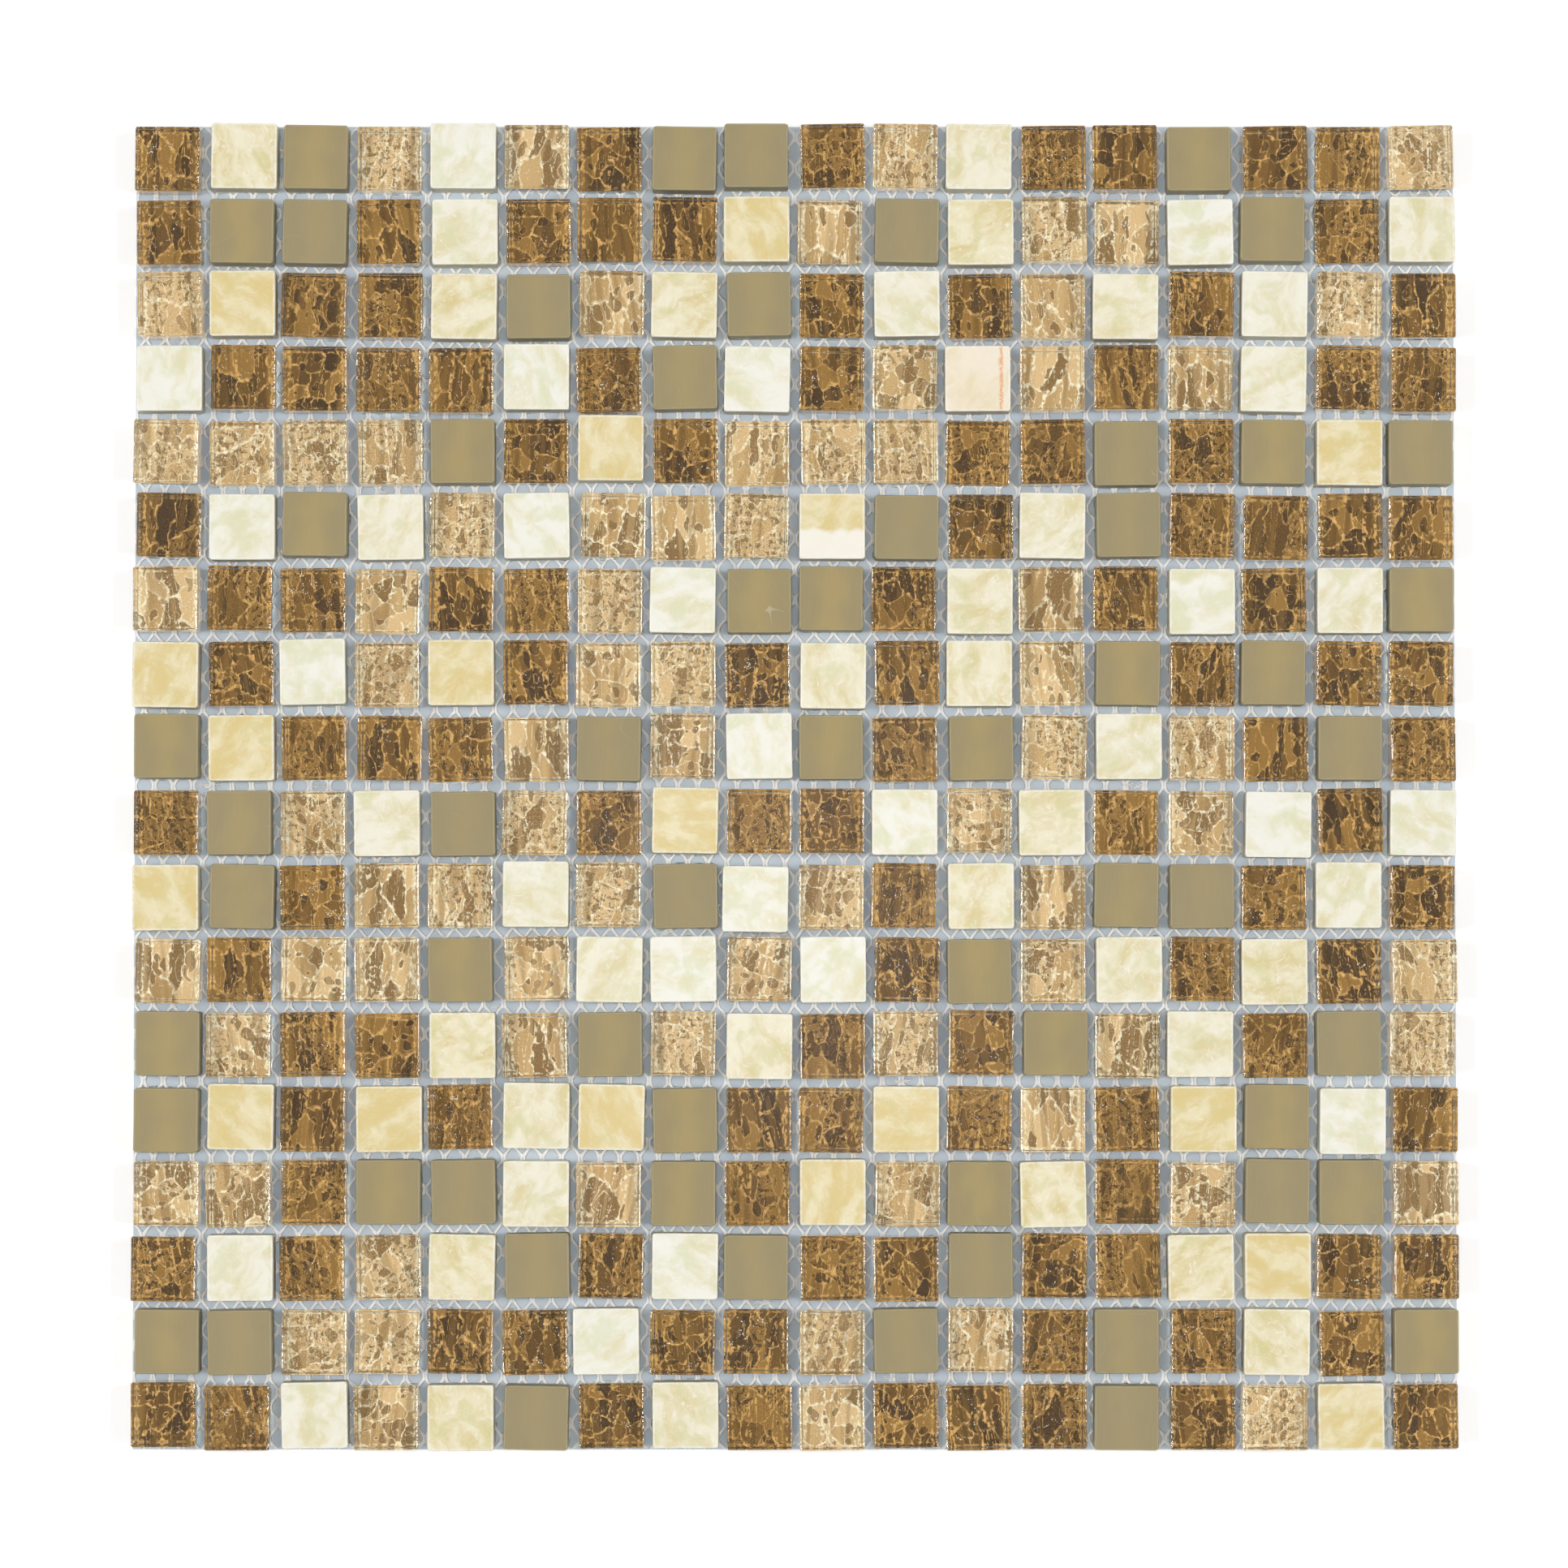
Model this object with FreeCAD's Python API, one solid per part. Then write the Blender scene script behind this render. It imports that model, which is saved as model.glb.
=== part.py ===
import FreeCAD, Part
import math
import os

# Mosaic tile sheet: 18 by 18 small square chips of crackle glass, frosted glass
# and onyx, glued on a knitted net that holds them at their joints until they are
# laid and grouted. Sizes are in millimetres. The net's underside is on Z = 0, the
# chips' faces look up +Z, and the plan's first row is the one furthest along +Y.

# Laying plan, one letter for each chip, rows from the top of the sheet down:
# D dark crackle glass, P pale crackle glass, F frosted glass, O onyx.
LAYING_PLAN = (
    "DOFPOPDFFDPODDFDDP",
    "DFFDODDDOPFOPPOFDO",
    "PODDOFPOFDODPODOPD",
    "ODDDDODFODPOPDPODD",
    "PPPPFDODPPPDDFDFOF",
    "DOFOPOPPPOFDOFDDDD",
    "PDDPDDPOFFDOPDODOF",
    "ODOPODPPDODOPFDFDD",
    "FODDDPFPOFDFPOPDFD",
    "DFPOFPDODDOPODPODO",
    "OFDPPOPFOPDOPFFDOD",
    "PDPPFPOOPODFPODODP",
    "FPDDOPFPODPDFPODFP",
    "FODODOOFDDODPDOFOD",
    "PPDFFOPFDOPFODPFFP",
    "DODPOFDOFDDFDDOODD",
    "FFPPDDODDPFPDFDODF",
    "DDOPOFDODPDDDFDPOD",
)
DARK_CRACKLE, PALE_CRACKLE, FROSTED, ONYX = "D", "P", "F", "O"
COLUMN_PITCH = 16.92
ROW_PITCH = 16.96

# Chips are dropped in a frame by hand, so none is quite on the grid or square to it.
DRIFT = 0.45
TWIST_DEG = 1.2
# Chips that plainly left their place when the glue set: (row, column) to a shift.
STRAYS = {
    (5, 7): (0.1, 1.0),
    (6, 7): (0.7, 0.2),
    (7, 13): (-0.6, 0.1),
    (8, 3): (-0.5, 0.5),
    (10, 16): (0.7, -0.6),
    (11, 9): (-0.6, -0.7),
    (14, 6): (0.1, 0.7),
    (14, 17): (0.6, -0.6),
    (17, 7): (-0.8, 0.1),
}

# Crackle glass: a clear glass body bonded to a thin crackle film, cut square
CRACKLE_SIDE = 14.65
GLASS_HEIGHT = 7.6
FILM_THICKNESS = 0.4
FILM_INSET = 0.05
CRACKLE_CORNER_RADIUS = 0.4
CRACKLE_EDGE_CHAMFER = 0.3

# Frosted glass: one etched body, its corners and edges rounded
FROSTED_SIDE = 14.8
FROSTED_HEIGHT = 8.0
FROSTED_CORNER_RADIUS = 1.1
FROSTED_EDGE_RADIUS = 0.5

# Onyx: one sawn and polished stone, its edges eased
ONYX_SIDE = 15.2
ONYX_HEIGHT = 7.9
ONYX_CORNER_RADIUS = 0.7
ONYX_EDGE_RADIUS = 0.3

# Net: cells with doubled threads on their upright sides and one on their slants
NET_THICKNESS = 0.4
NET_OVERHANG = 0.5
NET_MARGIN = 0.7
CELL_WIDTH = 4.45
CELL_ROW_PITCH = 3.56
UPRIGHT_WIDTH = 0.95
SLANT_WIDTH = 0.45
NET_BANDS = 17

ROWS = len(LAYING_PLAN)
COLUMNS = len(LAYING_PLAN[0])
WIDEST_CHIP = max(CRACKLE_SIDE, FROSTED_SIDE, ONYX_SIDE)
NET_WIDTH = (COLUMNS - 1) * COLUMN_PITCH + WIDEST_CHIP + 2 * NET_OVERHANG
NET_HEIGHT = (ROWS - 1) * ROW_PITCH + WIDEST_CHIP + 2 * NET_OVERHANG
CELL_COLUMNS = round(NET_WIDTH / CELL_WIDTH)
CELL_ROWS = round((NET_HEIGHT - 2 * NET_MARGIN) / CELL_ROW_PITCH)
CELL_STEP = NET_WIDTH / CELL_COLUMNS
ROW_STEP = (NET_HEIGHT - 2 * NET_MARGIN) / CELL_ROWS


def scatter(row, column, seed):
    """A fixed uneven number from -1 to 1 for each place of the grid."""
    value = math.sin(row * 12.9898 + column * 78.233 + seed * 37.719) * 43758.5453
    return 2 * (value - math.floor(value)) - 1


def chip_place(row, column):
    """Where the chip of this row and column lies: its centre on the net and its small turn."""
    across = (column - (COLUMNS - 1) / 2) * COLUMN_PITCH
    up = ((ROWS - 1) / 2 - row) * ROW_PITCH
    stray = STRAYS.get((row + 1, column + 1))
    if stray:
        shift_across, shift_up = stray
    else:
        shift_across = DRIFT * scatter(row, column, 1)
        shift_up = DRIFT * scatter(row, column, 2)
    turn = TWIST_DEG * scatter(row, column, 3)
    centre = FreeCAD.Vector(across + shift_across, up + shift_up, NET_THICKNESS)
    return FreeCAD.Placement(centre, FreeCAD.Rotation(FreeCAD.Vector(0, 0, 1), turn))


def square_block(side, height, corner_radius):
    """An upright block on the XY plane with its four upright corners rounded."""
    block = Part.makeBox(side, side, height, FreeCAD.Vector(-side / 2, -side / 2, 0))
    uprights = [e for e in block.Edges if abs(e.tangentAt(e.FirstParameter).z) > 0.5]
    return block.makeFillet(corner_radius, uprights)


def top_rim(block):
    """The edges round the block's upper face."""
    upper = max(block.Faces, key=lambda face: face.CenterOfMass.z)
    return upper.OuterWire.Edges


def crackle_glass():
    """Clear body of a crackle chip, sitting on its film, with a ground arris round its face."""
    block = square_block(CRACKLE_SIDE, GLASS_HEIGHT, CRACKLE_CORNER_RADIUS)
    body = block.makeChamfer(CRACKLE_EDGE_CHAMFER, top_rim(block))
    body.translate(FreeCAD.Vector(0, 0, FILM_THICKNESS))
    return body


def crackle_film():
    """Coloured film bonded to the back of a crackle chip, cut a little inside the glass."""
    side = CRACKLE_SIDE - 2 * FILM_INSET
    return square_block(side, FILM_THICKNESS, CRACKLE_CORNER_RADIUS - FILM_INSET)


def frosted_chip():
    """Etched glass chip with soft edges."""
    block = square_block(FROSTED_SIDE, FROSTED_HEIGHT, FROSTED_CORNER_RADIUS)
    return block.makeFillet(FROSTED_EDGE_RADIUS, top_rim(block))


def onyx_chip():
    """Polished stone chip with eased edges."""
    block = square_block(ONYX_SIDE, ONYX_HEIGHT, ONYX_CORNER_RADIUS)
    return block.makeFillet(ONYX_EDGE_RADIUS, top_rim(block))


def laid(master, kind):
    """Copies of one chip at every place that the laying plan gives to its kind."""
    chips = []
    for row in range(ROWS):
        for column in range(COLUMNS):
            if LAYING_PLAN[row][column] == kind:
                chip = master.copy()
                chip.Placement = chip_place(row, column).multiply(chip.Placement)
                chips.append(chip)
    return Part.Compound(chips)


def cell_radii():
    """Half the width and height of a cell, so that uprights and slants keep their widths."""
    across = (CELL_STEP - UPRIGHT_WIDTH) / 2
    to_next = math.hypot(CELL_STEP / 2, ROW_STEP)
    cosine = CELL_STEP / 2 / to_next
    sine = ROW_STEP / to_next
    reach = (to_next - SLANT_WIDTH) / 2
    up = sine / math.sqrt(1 / reach**2 - (cosine / across) ** 2)
    return across, up


def cell_curve(x, y):
    """Ellipse of the cell centred at x, y."""
    across, up = cell_radii()
    centre = FreeCAD.Vector(x, y, 0)
    top = FreeCAD.Vector(x, y + up, 0)
    side = FreeCAD.Vector(x + across, y, 0)
    if up > across:
        return Part.Ellipse(top, side, centre)
    return Part.Ellipse(side, top, centre)


def row_y(cell_row):
    """Height on the sheet of a row of cells, counted from the bottom."""
    return -NET_HEIGHT / 2 + NET_MARGIN + (cell_row + 0.5) * ROW_STEP


def is_offset(cell_row):
    """Every second row of cells is half a cell to the side, with half cells at its ends."""
    return cell_row % 2 == 1


def border(cell_row):
    """Points from left to right of the line between this row of cells and the one under it.

    Inside the net the line rises over the crowns of the lower cells and dips
    between them, so it runs along the slanting threads.
    """
    left = -NET_WIDTH / 2
    if cell_row in (0, CELL_ROWS):
        y = -NET_HEIGHT / 2 if cell_row == 0 else NET_HEIGHT / 2
        return [FreeCAD.Vector(left, y, 0), FreeCAD.Vector(-left, y, 0)]
    y = row_y(cell_row) - ROW_STEP / 2
    across, up = cell_radii()
    swing = up + SLANT_WIDTH / 2 - ROW_STEP / 2
    points = []
    for half_step in range(2 * CELL_COLUMNS + 1):
        over_lower_cell = (half_step % 2 == 1) != is_offset(cell_row - 1)
        rise = swing if over_lower_cell else -swing
        points.append(FreeCAD.Vector(left + half_step * CELL_STEP / 2, y + rise, 0))
    return points


def cut_end(first_row, last_row, side, low, high):
    """Edges of the band's cut end from its low to its high corner, through half cells."""
    across, up = cell_radii()
    x = side * NET_WIDTH / 2
    edges = []
    corner = low
    for cell_row in range(first_row, last_row):
        if is_offset(cell_row):
            y = row_y(cell_row)
            under = FreeCAD.Vector(x, y - up, 0)
            inner = FreeCAD.Vector(x - side * across, y, 0)
            over = FreeCAD.Vector(x, y + up, 0)
            edges.append(Part.LineSegment(corner, under).toShape())
            curve = cell_curve(x, y)
            bounds = (curve.parameter(under), curve.parameter(over))
            for ends in (bounds, bounds[::-1]):
                arc = Part.ArcOfEllipse(curve, *ends).toShape()
                if arc.distToShape(Part.Vertex(inner))[0] < UPRIGHT_WIDTH / 4:
                    edges.append(arc)
                    break
            corner = over
    edges.append(Part.LineSegment(corner, high).toShape())
    return edges


def net_band(first_row, last_row):
    """One band of the net, from its first row of cells up to, not including, its last."""
    lower = border(first_row)
    upper = border(last_row)
    edges = [Part.LineSegment(a, b).toShape() for a, b in zip(lower, lower[1:])]
    edges += cut_end(first_row, last_row, 1, lower[-1], upper[-1])
    edges += [Part.LineSegment(a, b).toShape() for a, b in zip(upper, upper[1:])]
    edges += cut_end(first_row, last_row, -1, lower[0], upper[0])
    outline = Part.Wire(Part.__sortEdges__(edges))
    cells = []
    for cell_row in range(first_row, last_row):
        start = 1 if is_offset(cell_row) else 0.5
        count = CELL_COLUMNS - 1 if is_offset(cell_row) else CELL_COLUMNS
        for index in range(count):
            x = -NET_WIDTH / 2 + (start + index) * CELL_STEP
            cells.append(Part.Wire([cell_curve(x, row_y(cell_row)).toShape()]))
    return Part.Face([outline] + cells).extrude(FreeCAD.Vector(0, 0, NET_THICKNESS))


def save(shape, node):
    """Writes one node's solids."""
    shape.exportStep(os.path.join("parts", node + ".step"))


os.makedirs("parts", exist_ok=True)
save(laid(crackle_glass(), DARK_CRACKLE), "dark_crackle_glass")
save(laid(crackle_film(), DARK_CRACKLE), "dark_crackle_film")
save(laid(crackle_glass(), PALE_CRACKLE), "pale_crackle_glass")
save(laid(crackle_film(), PALE_CRACKLE), "pale_crackle_film")
save(laid(frosted_chip(), FROSTED), "frosted_glass_chips")
save(laid(onyx_chip(), ONYX), "onyx_chips")
for band in range(NET_BANDS):
    band_start = round(band * CELL_ROWS / NET_BANDS)
    band_end = round((band + 1) * CELL_ROWS / NET_BANDS)
    save(net_band(band_start, band_end), "net_band_%02d" % (band + 1))
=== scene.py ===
import math

import bpy
import numpy as np
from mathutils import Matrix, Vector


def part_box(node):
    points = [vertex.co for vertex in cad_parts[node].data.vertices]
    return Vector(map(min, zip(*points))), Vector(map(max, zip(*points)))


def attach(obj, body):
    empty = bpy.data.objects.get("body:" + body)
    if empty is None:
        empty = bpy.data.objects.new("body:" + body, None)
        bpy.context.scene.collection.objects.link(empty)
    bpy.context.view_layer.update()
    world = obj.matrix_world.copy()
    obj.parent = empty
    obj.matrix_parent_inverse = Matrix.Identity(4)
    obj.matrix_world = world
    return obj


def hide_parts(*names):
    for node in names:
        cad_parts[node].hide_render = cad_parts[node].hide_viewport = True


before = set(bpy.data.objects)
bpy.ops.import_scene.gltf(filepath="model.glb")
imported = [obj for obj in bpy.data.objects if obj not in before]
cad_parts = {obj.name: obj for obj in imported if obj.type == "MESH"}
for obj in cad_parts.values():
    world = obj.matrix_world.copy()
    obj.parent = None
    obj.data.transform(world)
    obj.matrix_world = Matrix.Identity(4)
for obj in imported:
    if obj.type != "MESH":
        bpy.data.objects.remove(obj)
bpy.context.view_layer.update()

MM = 0.001


# The net: white polyester threads, warp knitted into a honeycomb. Pairs of threads run side
# by side up the cells' upright sides and part into single ones on the slants. It is one
# textile under all the chips, cut off at the sheet's edges.

CELL_COLUMNS = 68
CELL_ROWS = 85
NET_MARGIN = 0.7 * MM
UPRIGHT_THREAD = 0.62 * MM
FORK_THREAD = 1.05 * MM
SLANT_THREAD = 0.74 * MM
THREAD_HEIGHT = 0.3 * MM
THREAD_SLACK = 0.13 * MM
THREAD_MIDDLE = 0.2 * MM
THREAD_SWAY = 0.03 * MM
THREAD_SIDES = 5
FORK_AT = 0.22
MARGIN_USED = 0.95

net_nodes = sorted(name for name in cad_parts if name.startswith("net_band"))
net_low = np.array([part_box(name)[0] for name in net_nodes]).min(axis=0)
net_high = np.array([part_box(name)[1] for name in net_nodes]).max(axis=0)
cell_width = (net_high[0] - net_low[0]) / CELL_COLUMNS
cell_row_pitch = (net_high[1] - net_low[1] - 2 * NET_MARGIN) / CELL_ROWS


def put_mesh(name, points, face_groups):
    """A mesh object of the points and of groups of faces, smooth but for its caps.

    Each group is an array with one row of point numbers for each face, so the
    faces of one group all have as many corners. Those with more than four are caps.
    """
    corners = np.concatenate([group.ravel() for group in face_groups]).astype(np.int32)
    counts = np.concatenate([np.full(len(group), group.shape[1]) for group in face_groups])
    mesh = bpy.data.meshes.new(name)
    mesh.vertices.add(len(points))
    mesh.vertices.foreach_set("co", np.asarray(points, np.float32).ravel())
    mesh.loops.add(len(corners))
    mesh.loops.foreach_set("vertex_index", corners)
    mesh.polygons.add(len(counts))
    mesh.polygons.foreach_set("loop_start", (np.cumsum(counts) - counts).astype(np.int32))
    mesh.polygons.foreach_set("use_smooth", counts <= 4)
    mesh.update(calc_edges=True)
    mesh.validate()
    piece = bpy.data.objects.new(name, mesh)
    bpy.context.scene.collection.objects.link(piece)
    return piece


def put_uv(piece, name, point_uv):
    """A UV map that gives every face corner the value of its point."""
    mesh = piece.data
    corner_points = np.zeros(len(mesh.loops), np.int32)
    mesh.loops.foreach_get("vertex_index", corner_points)
    layer = mesh.uv_layers.new(name=name)
    layer.data.foreach_set("uv", np.asarray(point_uv, np.float32)[corner_points].ravel())


def put_value(piece, name, point_values):
    """A named number for every point, which a material can read."""
    layer = piece.data.attributes.new(name, "FLOAT", "POINT")
    layer.data.foreach_set("value", np.asarray(point_values, np.float32).ravel())


def tube_faces(strands, rings, sides, looped=False):
    """Quads between closed rings joined in a row, for many like strands.

    A cap closes both ends, or the last ring is joined to the first one.
    """
    strand = np.arange(strands)[:, None, None]
    ring = np.arange(rings if looped else rings - 1)[None, :, None]
    side = np.arange(sides)[None, None, :]
    next_ring = (ring + 1) % rings
    next_side = (side + 1) % sides
    corners = [(ring, side), (ring, next_side), (next_ring, next_side), (next_ring, side)]
    walls = np.stack([(strand * rings + r) * sides + s for r, s in corners], axis=-1).reshape(-1, 4)
    if looped:
        return [walls]
    first = np.arange(strands)[:, None] * rings * sides + np.arange(sides)[None, ::-1]
    last = np.arange(strands)[:, None] * rings * sides + (rings - 1) * sides + np.arange(sides)
    return [walls, first, last]


def threads(first_row, last_row):
    """Points of the threads between two rows of cells, as an array thread, ring, side.

    A thread swings from one upright to the next by a wave with flat tops. At every
    upright it keeps half a thread's width to its own side, and each upright stands a
    little off its place, the same for both of its threads. Its loops make it widest
    where two threads part, which is FORK_AT of a row from the upright's middle.
    """
    steps = np.array([-0.5, -FORK_AT, 0.0, FORK_AT])
    rows = np.arange(first_row, last_row)
    along = (rows[:, None] + steps[None, :]).ravel()
    along = np.append(along, last_row - 0.5)
    if first_row == 0:
        along[0] -= NET_MARGIN / cell_row_pitch * MARGIN_USED
    if last_row == CELL_ROWS:
        along[-1] += NET_MARGIN / cell_row_pitch * MARGIN_USED
    wave = np.clip(1.85 * np.cos(np.pi * along), -1, 1)
    thread = np.arange(2 * CELL_COLUMNS)
    swing = (cell_width / 2 - UPRIGHT_THREAD) / 2
    side_of_upright = 1 - 2 * (thread % 2)
    middle = net_low[0] + (thread + 0.5) * cell_width / 2
    x = middle[:, None] - side_of_upright[:, None] * swing * wave[None, :]
    y = net_low[1] + NET_MARGIN + (along + 0.5) * cell_row_pitch
    y = np.broadcast_to(y, x.shape)
    row = np.clip(np.round(along), 0, CELL_ROWS - 1).astype(int)
    upright = (thread[:, None] + 1 - row[None, :] % 2) // 2
    near_upright = np.abs(along - np.round(along)) < 0.3
    drift = slack[:, row[None, :], upright] * near_upright[None, :]
    x = np.clip(x + drift[0], net_low[0] + UPRIGHT_THREAD / 2, net_high[0] - UPRIGHT_THREAD / 2)
    y = y + drift[1]
    turn = np.arange(THREAD_SIDES) / THREAD_SIDES * 2 * np.pi
    run_x, run_y = np.gradient(x, axis=1), np.gradient(y, axis=1)
    run = np.hypot(run_x, run_y)
    off_upright = np.abs(along - np.round(along))
    width = np.interp(off_upright, [0.0, FORK_AT, 0.5], [UPRIGHT_THREAD, FORK_THREAD, SLANT_THREAD])
    half_width = (width / 2)[None, :, None] * np.cos(turn)
    ring_x = np.clip(x[:, :, None] + half_width * (run_y / run)[:, :, None], net_low[0], net_high[0])
    ring_y = np.clip(y[:, :, None] - half_width * (run_x / run)[:, :, None], net_low[1], net_high[1])
    lift = THREAD_MIDDLE + THREAD_SWAY * np.sin(2.1 * thread[:, None] + 1.3 * along[None, :])
    ring_z = net_low[2] + lift[:, :, None] + THREAD_HEIGHT / 2 * np.sin(turn)
    return np.stack([ring_x, ring_y, ring_z], axis=-1)


def new_material(name):
    """An empty material and its Principled shader's node."""
    material = bpy.data.materials.new(name)
    material.use_nodes = True
    return material, material.node_tree, material.node_tree.nodes["Principled BSDF"]


def add(tree, kind, inputs=None, **settings):
    """A shader node with its settings; an input is a value or the socket that feeds it."""
    made = tree.nodes.new("ShaderNode" + kind)
    for key, value in settings.items():
        setattr(made, key, value)
    for key, value in (inputs or {}).items():
        if isinstance(value, bpy.types.NodeSocket):
            tree.links.new(value, made.inputs[key])
        else:
            made.inputs[key].default_value = value
    return made


def feed(tree, socket, shader, name):
    """Links a socket to a shader's input."""
    tree.links.new(socket, shader.inputs[name])


def colour(red, green, blue):
    """A screen colour, 0 to 255, as the linear colour that a shader takes."""
    parts = [value / 255 for value in (red, green, blue)]
    return [part / 12.92 if part <= 0.04045 else ((part + 0.055) / 1.055) ** 2.4 for part in parts] + [1]


def calc(tree, operation, a, b=0.0, c=0.0):
    """The result of one sum on values or sockets."""
    return add(tree, "Math", {0: a, 1: b, 2: c}, operation=operation).outputs[0]


def ramp(tree, value, low, high, to_low=0.0, to_high=1.0):
    """A value stretched from one range to another with eased ends."""
    inputs = {"Value": value, "From Min": low, "From Max": high, "To Min": to_low, "To Max": to_high}
    return add(tree, "MapRange", inputs, interpolation_type="SMOOTHSTEP").outputs[0]


def blend(tree, factor, a, b):
    """A mix of two colours or colour sockets."""
    made = add(tree, "Mix", {0: factor, 6: a, 7: b}, data_type="RGBA")
    return made.outputs[2]


net_fabric, tree, shader = new_material("white polyester thread")
place = add(tree, "UVMap", uv_map="thread").outputs[0]
fibres = add(tree, "TexNoise", {"Vector": place, "Scale": 1.0, "Detail": 3.0}).outputs[0]
shade = blend(tree, ramp(tree, fibres, 0.25, 0.5), colour(242, 243, 244), colour(255, 255, 254))
feed(tree, shade, shader, "Base Color")
fibre_bump = add(tree, "Bump", {"Height": fibres, "Strength": 0.4, "Distance": 0.05 * MM})
feed(tree, fibre_bump.outputs[0], shader, "Normal")
shader.inputs["Roughness"].default_value = 0.55
shader.inputs["Sheen Weight"].default_value = 0.6

chance = np.random.default_rng(11)
slack = chance.uniform(-1, 1, (2, CELL_ROWS, CELL_COLUMNS + 1)) * THREAD_SLACK
bands = len(net_nodes)
for band, node in enumerate(net_nodes):
    band_start = round(band * CELL_ROWS / bands)
    band_end = round((band + 1) * CELL_ROWS / bands)
    rings = threads(band_start, band_end)
    count, steps, sides, _ = rings.shape
    piece = put_mesh(node + "_threads", rings.reshape(-1, 3), tube_faces(count, steps, sides))
    along, around = np.meshgrid(rings[0, :, 0, 1] / (2 * MM), np.arange(sides) * 1.7, indexing="ij")
    apart = np.arange(count)[:, None, None] * 7.3
    thread_uv = np.stack([np.broadcast_to(around, (count, steps, sides)) + apart,
                          np.broadcast_to(along, (count, steps, sides))], axis=-1)
    put_uv(piece, "thread", thread_uv.reshape(-1, 2))
    piece.data.materials.append(net_fabric)
    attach(piece, "root")
    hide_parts(node)


# The glue: a thin film of clear adhesive, rolled on the net before the chips are dropped in
# place. It spreads under each chip, climbs its foot a little and dries milky where it is thick.

LAYING_PLAN = (
    "DOFPOPDFFDPODDFDDP",
    "DFFDODDDOPFOPPOFDO",
    "PODDOFPOFDODPODOPD",
    "ODDDDODFODPOPDPODD",
    "PPPPFDODPPPDDFDFOF",
    "DOFOPOPPPOFDOFDDDD",
    "PDDPDDPOFFDOPDODOF",
    "ODOPODPPDODOPFDFDD",
    "FODDDPFPOFDFPOPDFD",
    "DFPOFPDODDOPODPODO",
    "OFDPPOPFOPDOPFFDOD",
    "PDPPFPOOPODFPODODP",
    "FPDDOPFPODPDFPODFP",
    "FODODOOFDDODPDOFOD",
    "PPDFFOPFDOPFODPFFP",
    "DODPOFDOFDDFDDOODD",
    "FFPPDDODDPFPDFDODF",
    "DDOPOFDODPDDDFDPOD",
)
COLUMN_PITCH = 16.92 * MM
ROW_PITCH = 16.96 * MM
DRIFT = 0.45 * MM
TWIST = math.radians(1.2)
STRAYS = {
    (5, 7): (0.1, 1.0),
    (6, 7): (0.7, 0.2),
    (7, 13): (-0.6, 0.1),
    (8, 3): (-0.5, 0.5),
    (10, 16): (0.7, -0.6),
    (11, 9): (-0.6, -0.7),
    (14, 6): (0.1, 0.7),
    (14, 17): (0.6, -0.6),
    (17, 7): (-0.8, 0.1),
}
GLUE_FEET = {"D": 7.3 * MM, "P": 7.3 * MM, "F": 7.38 * MM, "O": 7.58 * MM}
GLUE_CORNER = 0.9 * MM
GLUE_UNDER = 0.35 * MM
GLUE_REACH = 0.55 * MM
GLUE_WAVER = 1.1 * MM
GLUE_BOTTOM = 0.04 * MM
GLUE_TOP = 0.9 * MM

plan = np.array([list(line) for line in LAYING_PLAN])
row_of, column_of = np.indices(plan.shape)


def scatter(seed):
    """A fixed uneven number from -1 to 1 for each place of the grid, from the fraction of a large sine."""
    value = np.sin(row_of * 12.9898 + column_of * 78.233 + seed * 37.719) * 43758.5453
    return 2 * (value - np.floor(value)) - 1


centre_x = (column_of - (plan.shape[1] - 1) / 2) * COLUMN_PITCH
centre_y = ((plan.shape[0] - 1) / 2 - row_of) * ROW_PITCH
shift_x = DRIFT * scatter(1)
shift_y = DRIFT * scatter(2)
for (row, column), (across, up) in STRAYS.items():
    shift_x[row - 1, column - 1] = across * MM
    shift_y[row - 1, column - 1] = up * MM
centre_x = centre_x + shift_x
centre_y = centre_y + shift_y
turned = TWIST * scatter(3)


def outline(corner_steps, side_steps):
    """The shape of a rounded square as weights, counted anticlockwise from the right.

    A point is the corners' distance times its first two weights, plus the corners'
    radius times its last two: each corner is an arc and each side a straight run.
    """
    points = []
    signs = ((1, 1), (-1, 1), (-1, -1), (1, -1))
    for quarter, (sign_x, sign_y) in enumerate(signs):
        next_x, next_y = signs[(quarter + 1) % 4]
        for step in range(corner_steps + 1):
            angle = (quarter + step / corner_steps) * math.pi / 2
            points.append((sign_x, sign_y, math.cos(angle), math.sin(angle)))
        angle = (quarter + 1) * math.pi / 2
        for step in range(1, side_steps):
            part = step / side_steps
            points.append((sign_x + (next_x - sign_x) * part, sign_y + (next_y - sign_y) * part,
                           math.cos(angle), math.sin(angle)))
    return np.array(points).T


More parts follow.
